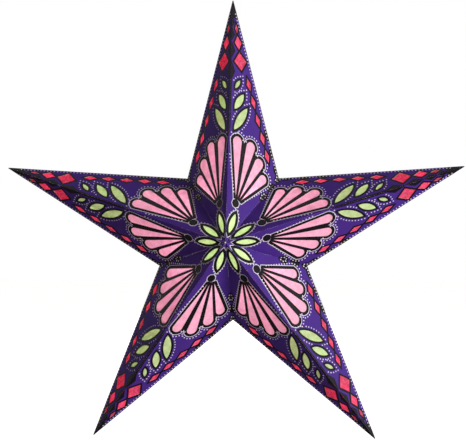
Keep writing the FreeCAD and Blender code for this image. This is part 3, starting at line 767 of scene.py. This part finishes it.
# %% Tissue
def tissue_paper(name, lit_hex, fibre_hex, see_through=0.6):
    """Handmade tissue. Threads wander through it about 8 mm apart, and clouds 8 mm across
    show where the pulp is thicker. The threads are 0.7 mm wide, coarser than real fibres,
    so that they show."""
    material, tree, output = blank_material(name)
    uv = add(tree, "ShaderNodeUVMap", uv_map="facet").outputs["UV"]
    warp = add(tree, "ShaderNodeTexNoise", {"Vector": uv, "Scale": 60.0, "Detail": 2.0})
    pull = {0: warp.outputs["Color"], "Scale": 0.02}
    bent = add(tree, "ShaderNodeVectorMath", pull, operation="SCALE")
    moved = add(tree, "ShaderNodeVectorMath", {0: uv, 1: bent.outputs[0]}, operation="ADD")
    web = {"Vector": moved.outputs[0], "Scale": 130.0}
    threads = add(tree, "ShaderNodeTexVoronoi", web, feature="DISTANCE_TO_EDGE")
    thread = {
        "Value": threads.outputs["Distance"],
        "From Min": 0.0,
        "From Max": 0.09,
        "To Min": 0.5,
        "To Max": 0.0,
    }
    thin = add(tree, "ShaderNodeMapRange", thread)
    pulp = add(tree, "ShaderNodeTexNoise", {"Vector": uv, "Scale": 130.0, "Detail": 5.0})
    tones = {"Value": pulp.outputs["Fac"], "To Min": 0.72, "To Max": 1.2}
    cloud = add(tree, "ShaderNodeMapRange", tones)
    dyed = {"Value": cloud.outputs[0], "Color": linear(lit_hex)}
    shade = add(tree, "ShaderNodeHueSaturation", dyed)
    layers = {
        "Factor": thin.outputs[0],
        MIX_FIRST: shade.outputs[0],
        MIX_SECOND: linear(fibre_hex),
    }
    mixed = add(tree, "ShaderNodeMix", layers, data_type="RGBA")
    relief = {"Height": pulp.outputs["Fac"], "Strength": 0.3, "Distance": 0.0003}
    bump = add(tree, "ShaderNodeBump", relief)
    through = add(tree, "ShaderNodeBsdfTranslucent", {"Color": mixed.outputs[MIX_RESULT]})
    matt = {
        "Base Color": mixed.outputs[MIX_RESULT],
        "Normal": bump.outputs[0],
        "Roughness": 0.7,
    }
    front = add(tree, "ShaderNodeBsdfPrincipled", matt)
    shaders = {0: see_through, 1: front.outputs[0], 2: through.outputs[0]}
    both = add(tree, "ShaderNodeMixShader", shaders)
    tree.links.new(both.outputs[0], output.inputs["Surface"])
    return material


pink_tissue = tissue_paper("pink_handmade_tissue", "#fad4e5", "#ffeef6")
lime_tissue = tissue_paper("lime_handmade_tissue", "#dceec2", "#f2fbe4")
crimson_tissue = tissue_paper("crimson_handmade_tissue", "#f56a9c", "#ffb4cc")
print("tissue finishes: 3")

# %% [markdown]
# ## Brass
#
# The eyelet and the grommet are stamped from thin brass sheet and polished. A glossy yellow
# would look like plastic, because its highlights stay white, and a metal tints what it
# mirrors. So Metallic is 1, and the Base Color is that of brass.

# %% Brass
def stamped_brass(name):
    """Thin stamped brass, polished: a warm mirror. Fine scratches 0.1 mm apart vary its
    gloss, and tarnish in clouds 2.5 mm across varies its colour."""
    material, tree, output = blank_material(name)
    place = add(tree, "ShaderNodeTexCoord").outputs["Object"]
    fine = {"Vector": place, "Scale": 9000.0, "Detail": 2.0}
    scratch = add(tree, "ShaderNodeTexNoise", fine)
    dulled = {"Value": scratch.outputs["Fac"], "To Min": 0.18, "To Max": 0.36}
    gloss = add(tree, "ShaderNodeMapRange", dulled)
    tarnish = add(tree, "ShaderNodeTexNoise", {"Vector": place, "Scale": 400.0, "Detail": 3.0})
    tones = {"Value": tarnish.outputs["Fac"], "To Min": 0.8, "To Max": 1.1}
    tone = add(tree, "ShaderNodeMapRange", tones)
    metal = {"Value": tone.outputs[0], "Color": linear("#d9b25f")}
    shade = add(tree, "ShaderNodeHueSaturation", metal)
    mirror = {
        "Base Color": shade.outputs[0],
        "Roughness": gloss.outputs[0],
        "Metallic": 1.0,
    }
    shader = add(tree, "ShaderNodeBsdfPrincipled", mirror)
    tree.links.new(shader.outputs[0], output.inputs["Surface"])
    return material


brass = stamped_brass("stamped_polished_brass")
print("brass finishes: 1")

# %% [markdown]
# ## The twenty panels
#
# A panel is the drawing on its outer face, bare card on its inner face, and cut walls round
# every window. It could be one flat sheet of even thickness, but then two panels would cut
# through each other as their valley closes. So the card thins towards the valley, where it
# is scored, and it bows out by half a millimetre between its creases, as a card folded by
# hand does.

# %% Shape the card
# The card's thickness and bow, the widths over which it thins, and the share of its
# thickness that is left on a crease.
CARD, BOW = 0.3, 0.5
BEVEL_RUN, FOLD_RUN, VALLEY_SHARE, FOLD_SHARE = 3.8, 0.7, 0.005, 0.1


def bow_of(flat):
    """BOW times 27 a b c, where a, b and c are the shares of a point's three heights."""
    shares = np.ones(len(flat))
    opposite = {"ridge": FACET[2], "valley": FACET[1], "outer": FACET[0]}
    for crease, corner in opposite.items():
        full = height_in(corner[None, :], crease)[0]
        shares *= np.clip(height_in(flat, crease) / full, 0, 1)
    return BOW * 27 * shares


def card_top(flat):
    """Height of the outer face: CARD times the least of the three runs. A run grows in
    proportion to the height above its crease, to 1 where the crease's fold has ended. The
    valley's run is the longest, and it starts from almost nothing."""
    run = np.clip(height_in(flat, "valley") / BEVEL_RUN, VALLEY_SHARE, 1.0)
    for crease in ("ridge", "outer"):
        run = np.minimum(run, np.clip(height_in(flat, crease) / FOLD_RUN, FOLD_SHARE, 1.0))
    return CARD * run


print(f"highest bow: {bow_of(plain_drawing[0]).max():.2f} mm")

# %% Build the panels
# Walls this close to a crease have the print's colour, and the others are bare card.
CREASE_REACH = 0.2
CABLE_PANEL = ("top", "back", "left")
FINISH_OF_INK = [violet_card, black_card, white_card, inner_card]
INNER = FINISH_OF_INK.index(inner_card)


def build_panel(arm, face, hand):
    """A panel's card with the drawing on it, riding on the panel's body."""
    place = facet_frame(arm, face, hand)
    holed = (arm, face, hand) == CABLE_PANEL
    flat, triangles, inks = holed_drawing if holed else plain_drawing
    bow = bow_of(flat)
    name = f"{arm}_arm_{face}_{hand}_panel"
    points, faces, walls = slab(
        flat, triangles, bow + card_top(flat), bow, place, keeps_hand(place)
    )
    wall_middles = np.vstack([flat, flat])[faces[-walls:]].mean(axis=1)
    on_crease = inset_of(wall_middles) < CREASE_REACH
    slots = np.concatenate(
        [inks, np.full(len(triangles), INNER), np.where(on_crease, VIOLET, INNER)]
    )
    uv = np.vstack([flat, flat]) * MM
    panel = tidy_mesh(f"{name}_card", points, faces, slots, uv, FINISH_OF_INK)
    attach(panel, name)
    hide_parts(name)
    return panel


places = [(a, f, h) for a in ARMS for f in ("front", "back") for h in ("left", "right")]
panels = [build_panel(*place) for place in places]
print("panels:", len(panels), "triangles each:", len(panels[0].data.polygons))

# %% [markdown]
# ## The tissue
#
# Behind each group of windows one piece of tissue is glued to the inner face: lime near the
# centre, pink behind the fan, lime behind the leaves, crimson along the edge and in the tip.
# It could be simulated as cloth, but paper held by glue on every side hardly moves. So a
# rule lets it sag a little inwards where a window is wide.

# %% Cut the patches of tissue
# The glue, the tissue's thickness, and how far it sags in for each millimetre from the rim
# of a window, up to SAG_RUN.
GLUE_GAP, TISSUE, SAG, SAG_RUN = 0.02, 0.1, 0.05, 8.0
MARGIN, TIP_SIDE_MARGIN, STRIP, GAP, VALLEY_GLUE, BARE = 4.5, 2.8, 17.0, 1.0, 6.0, 7.5
LEAF_START, LEAF_END = 147.0, 222.0


def patch(*rules):
    """The facet cut off by rules: a crease or "along", a sign, and the inset kept from it.
    With a sign of -1 the rule keeps the other side."""
    points = FACET
    for side, sign, amount in rules:
        normal, offset = CREASES.get(side, (LEVEL, 0.0))
        points = cut_off(points, sign * normal, sign * (offset - amount))
    return points


centre_patch = patch(
    ("ridge", 1, TIP_SIDE_MARGIN),
    ("valley", 1, TIP_SIDE_MARGIN),
    ("along", -1, FAN_CENTRE[0] - BARE),
)
fan_patch = patch(
    ("ridge", 1, MARGIN),
    ("valley", 1, VALLEY_GLUE),
    ("outer", 1, STRIP + GAP),
    ("along", 1, FAN_CENTRE[0] + BARE),
    ("along", -1, LEAF_START - GAP),
)
leaf_patch = patch(
    ("ridge", 1, MARGIN),
    ("outer", 1, STRIP + GAP),
    ("along", 1, LEAF_START),
    ("along", -1, LEAF_END),
)
edge_patch = patch(
    ("outer", 1, TIP_SIDE_MARGIN),
    ("outer", -1, STRIP),
    ("valley", 1, VALLEY_GLUE),
    ("along", -1, LEAF_END + GAP),
)
tip_patch = patch(
    ("outer", 1, TIP_SIDE_MARGIN),
    ("ridge", 1, TIP_SIDE_MARGIN),
    ("along", 1, LEAF_END + GAP),
)
TISSUES = [pink_tissue, lime_tissue, crimson_tissue]
patches = [
    (centre_patch, lime_tissue),
    (fan_patch, pink_tissue),
    (leaf_patch, lime_tissue),
    (edge_patch, crimson_tissue),
    (tip_patch, crimson_tissue),
]
print("tissue patches:", len(patches))

# %% Build the tissue
def depth_in(outline, points):
    """Depth of points inside a convex outline: the least height above its edges."""
    if area_of(outline) < 0:
        outline = outline[::-1]
    run = np.roll(outline, -1, axis=0) - outline
    run /= np.linalg.norm(run, axis=1, keepdims=True)
    offset = points[:, None, :] - outline[None, :, :]
    return np.min(run[:, 0] * offset[:, :, 1] - run[:, 1] * offset[:, :, 0], axis=1)


GRID, GRID_CLEARANCE = 3.0, 0.5
lattice = np.stack(
    np.meshgrid(np.arange(1.0, RIDGE, GRID), np.arange(1.0, FACET[2][1], GRID)), -1
).reshape(-1, 2)
flat_tissue = []
for outline, finish in patches:
    inside = lattice[depth_in(outline, lattice) > GRID_CLEARANCE]
    flat, triangles, _ = triangulate([outline], inside)
    depth = np.max([depth_in(window, flat) for window in windows], axis=0)
    sag = -SAG * np.clip(depth, 0, SAG_RUN)
    flat_tissue.append((flat, triangles, sag, TISSUES.index(finish)))


def build_tissue(arm, face, hand):
    """All tissue of one panel as one piece, each patch a closed sheet under the card."""
    place = facet_frame(arm, face, hand)
    parts = []
    shift = 0
    for flat, triangles, sag, slot in flat_tissue:
        top = bow_of(flat) + sag - GLUE_GAP
        points, faces, _ = slab(flat, triangles, top, top - TISSUE, place, keeps_hand(place))
        uv = np.vstack([flat, flat]) * MM
        parts.append((points, faces + shift, np.full(len(faces), slot), uv))
        shift += len(points)
    points, faces, slots, uv = (np.concatenate(kind) for kind in zip(*parts))
    name = f"{arm}_arm_{face}_{hand}"
    sheet = tidy_mesh(f"{name}_tissue_patches", points, faces, slots, uv, TISSUES)
    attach(sheet, f"{name}_panel")
    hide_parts(f"{name}_tissue")
    return sheet


tissues = [build_tissue(*place) for place in places]
print("tissues:", len(tissues), "triangles each:", len(tissues[0].data.polygons))

# %% [markdown]
# ## Flaps, tab and brass
#
# The small solids keep their shapes from the frame: the glue flaps and seam flaps, the tab
# and its eyelet, and the cable grommet. They could be modelled again, but they are plain
# already and only need their finishes. Their pattern reads Object coordinates, because these
# solids have no facet drawing.

# %% Finish the solids that stay
def plain_card(name, colour_hex):
    """Unprinted card: matt, with clouds 20 mm across and a fine fibre 0.4 mm wide."""
    material, tree, output = blank_material(name)
    place = add(tree, "ShaderNodeTexCoord").outputs["Object"]
    cloud = add(tree, "ShaderNodeTexNoise", {"Vector": place, "Scale": 50.0, "Detail": 4.0})
    tones = {"Value": cloud.outputs["Fac"], "To Min": 0.88, "To Max": 1.1}
    tone = add(tree, "ShaderNodeMapRange", tones)
    dyed = {"Value": tone.outputs[0], "Color": linear(colour_hex)}
    shade = add(tree, "ShaderNodeHueSaturation", dyed)
    fibre = {"Vector": place, "Scale": FIBRE_SCALE, "Detail": 3.0}
    grain = add(tree, "ShaderNodeTexNoise", fibre)
    relief = {"Height": grain.outputs["Fac"], "Strength": 0.2, "Distance": FIBRE_HEIGHT}
    bump = add(tree, "ShaderNodeBump", relief)
    matt = {
        "Base Color": shade.outputs[0],
        "Normal": bump.outputs[0],
        "Roughness": 0.65,
    }
    shader = add(tree, "ShaderNodeBsdfPrincipled", matt)
    tree.links.new(shader.outputs[0], output.inputs["Surface"])
    return material


violet_stock = plain_card("violet_card_of_the_flaps", "#43288c")
finished = 0
for name, node in frame["nodes"].items():
    if name.endswith(("_panel", "_tissue")):
        continue
    node.data.materials.clear()
    brass_piece = name in ("hanger_eyelet", "cable_grommet")
    node.data.materials.append(brass if brass_piece else violet_stock)
    finished += 1
print("finished solids:", finished)

# %% [markdown]
# ## Floor
#
# The floor is pale and plain and keeps the star's shadow. More light could turn it white,
# but that would bleach the card too. So it has a little emission that only the camera sees.

# %% Lay the floor
FLOOR_GAP, FLOOR_REACH, FLOOR_LIFT = 0.002, 6.0, 0.94
low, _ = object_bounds()
signs = ((-1, -1), (1, -1), (1, 1), (-1, 1))
corners = [(FLOOR_REACH * x, FLOOR_REACH * y, low[2] - FLOOR_GAP) for x, y in signs]
floor_mesh = bpy.data.meshes.new("floor")
floor_mesh.from_pydata(corners, [], [(0, 1, 2, 3)])
floor = bpy.data.objects.new("floor", floor_mesh)
bpy.context.scene.collection.objects.link(floor)
floor_finish, tree, output = blank_material("pale_matt_floor")
matt = add(tree, "ShaderNodeBsdfDiffuse", {"Color": linear("#ffffff")})
camera_ray = add(tree, "ShaderNodeLightPath").outputs["Is Camera Ray"]
lift = add(tree, "ShaderNodeMath", {0: camera_ray, 1: FLOOR_LIFT}, operation="MULTIPLY")
paleness = add(tree, "ShaderNodeEmission", {"Strength": lift.outputs[0]})
floor_shader = add(tree, "ShaderNodeAddShader", {0: matt.outputs[0], 1: paleness.outputs[0]})
tree.links.new(floor_shader.outputs[0], output.inputs["Surface"])
floor_mesh.materials.append(floor_finish)
floor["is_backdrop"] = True
print(f"floor {-low[2] + FLOOR_GAP:.3f} m below the centre")

# %% [markdown]
# ## Light
#
# A large soft lamp from the right models the folds, and a weak world fills the shade. Inside
# the star hangs a bulb, which lights the tissue from behind. One strong lamp at the centre
# could stand for it, but it would burn out the middle and leave the tips dark. So the bulb
# is weak, and each arm has three weaker lamps of its own.

# %% Light the world
world = bpy.data.worlds.new("studio")
bpy.context.scene.world = world
world.use_nodes = True
tree = world.node_tree
tree.nodes.clear()
path = add(tree, "ShaderNodeLightPath")
seen = path.outputs["Is Camera Ray"]
for ray in ("Is Glossy Ray", "Is Transmission Ray"):
    seen = add(tree, "ShaderNodeMath", {0: seen, 1: path.outputs[ray]}, operation="MAXIMUM")
    seen = seen.outputs[0]
# Rays that light the object meet a dim, slightly warm fill. The others see white.
WARM_FILL, PLAIN_WHITE = (0.070, 0.054, 0.050, 1.0), (1.0, 1.0, 1.0, 1.0)
either = {"Factor": seen, MIX_FIRST: WARM_FILL, MIX_SECOND: PLAIN_WHITE}
shown = add(tree, "ShaderNodeMix", either, data_type="RGBA")
sky = add(tree, "ShaderNodeBackground", {"Color": shown.outputs[MIX_RESULT]})
add(tree, "ShaderNodeOutputWorld", {"Surface": sky.outputs[0]})
print("warm fill:", WARM_FILL[:3])


# %% Light the star
def aim(thing, place, target):
    """Put a lamp or camera at a place and turn its -Z axis to a target."""
    thing.location = place
    thing.rotation_euler = (Vector(target) - Vector(place)).to_track_quat("-Z", "Y").to_euler()


def lamp(name, kind, energy, place, **settings):
    """A lamp of a kind and energy at a place, aimed at the star's centre."""
    data = bpy.data.lights.new(name, kind)
    data.energy = energy
    for key, value in settings.items():
        setattr(data, key, value)
    thing = bpy.data.objects.new(name, data)
    bpy.context.scene.collection.objects.link(thing)
    aim(thing, place, (0, 0, 0))


KEY_WATTS, BACK_WATTS, BULB_WATTS, ARM_WATTS = 66.0, 30.0, 0.42, 0.03
lamp("key", "AREA", KEY_WATTS, (2.2, -1.25, -0.05), size=1.0)
lamp("back_fill", "AREA", BACK_WATTS, (-0.9, 2.8, 0.7), size=1.2)
lamp("bulb", "POINT", BULB_WATTS, (0, 0, 0), shadow_soft_size=0.03)
# Three lamps in each arm: how far from the centre in metres, and a share of ARM_WATTS.
ARM_LAMPS = ((0.13, 1.0), (0.19, 0.6), (0.25, 0.3))
for arm in ARMS:
    outwards = radial(turn_of(arm))
    for reach, share in ARM_LAMPS:
        watts = ARM_WATTS * share
        lamp(f"glow_{arm}_{reach}", "POINT", watts, outwards * reach, shadow_soft_size=0.008)
print("lamps:", len(bpy.data.lights))

# %% [markdown]
# ## Camera
#
# The camera stands a little to the right of the front and looks level at the star. A wide
# lens close by could show it too, but it would stretch the near facets. A long lens from
# 2.2 m away keeps the five arms alike.

# %% Set the camera
DISTANCE, VIEW_WIDTH, TURN, AIM_HEIGHT = 2.2, 0.605, math.radians(6.4), 0.0243
camera_data = bpy.data.cameras.new("camera")
camera = bpy.data.objects.new("camera", camera_data)
bpy.context.scene.collection.objects.link(camera)
bpy.context.scene.camera = camera
camera_data.sensor_width = 36.0
camera_data.lens = camera_data.sensor_width * DISTANCE / VIEW_WIDTH
stand = (DISTANCE * math.sin(TURN), -DISTANCE * math.cos(TURN), AIM_HEIGHT)
aim(camera, stand, (0.0, 0.0, AIM_HEIGHT))
bpy.context.scene.view_settings.view_transform = "Standard"
print(f"lens {camera_data.lens:.0f} mm")

# %% [markdown]
# ## The two boxes
#
# The finished paper has to stay inside the solids that it stands for. It could be checked by
# eye, but two boxes say it in numbers: the frame's own, kept at the start, and this one.

# %% Keep both boxes
dressed_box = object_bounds()
growth = [round((b - a) / MM, 2) for a, b in zip(cad_box[1], dressed_box[1])]
print("growth of the box's upper corner in mm:", growth)
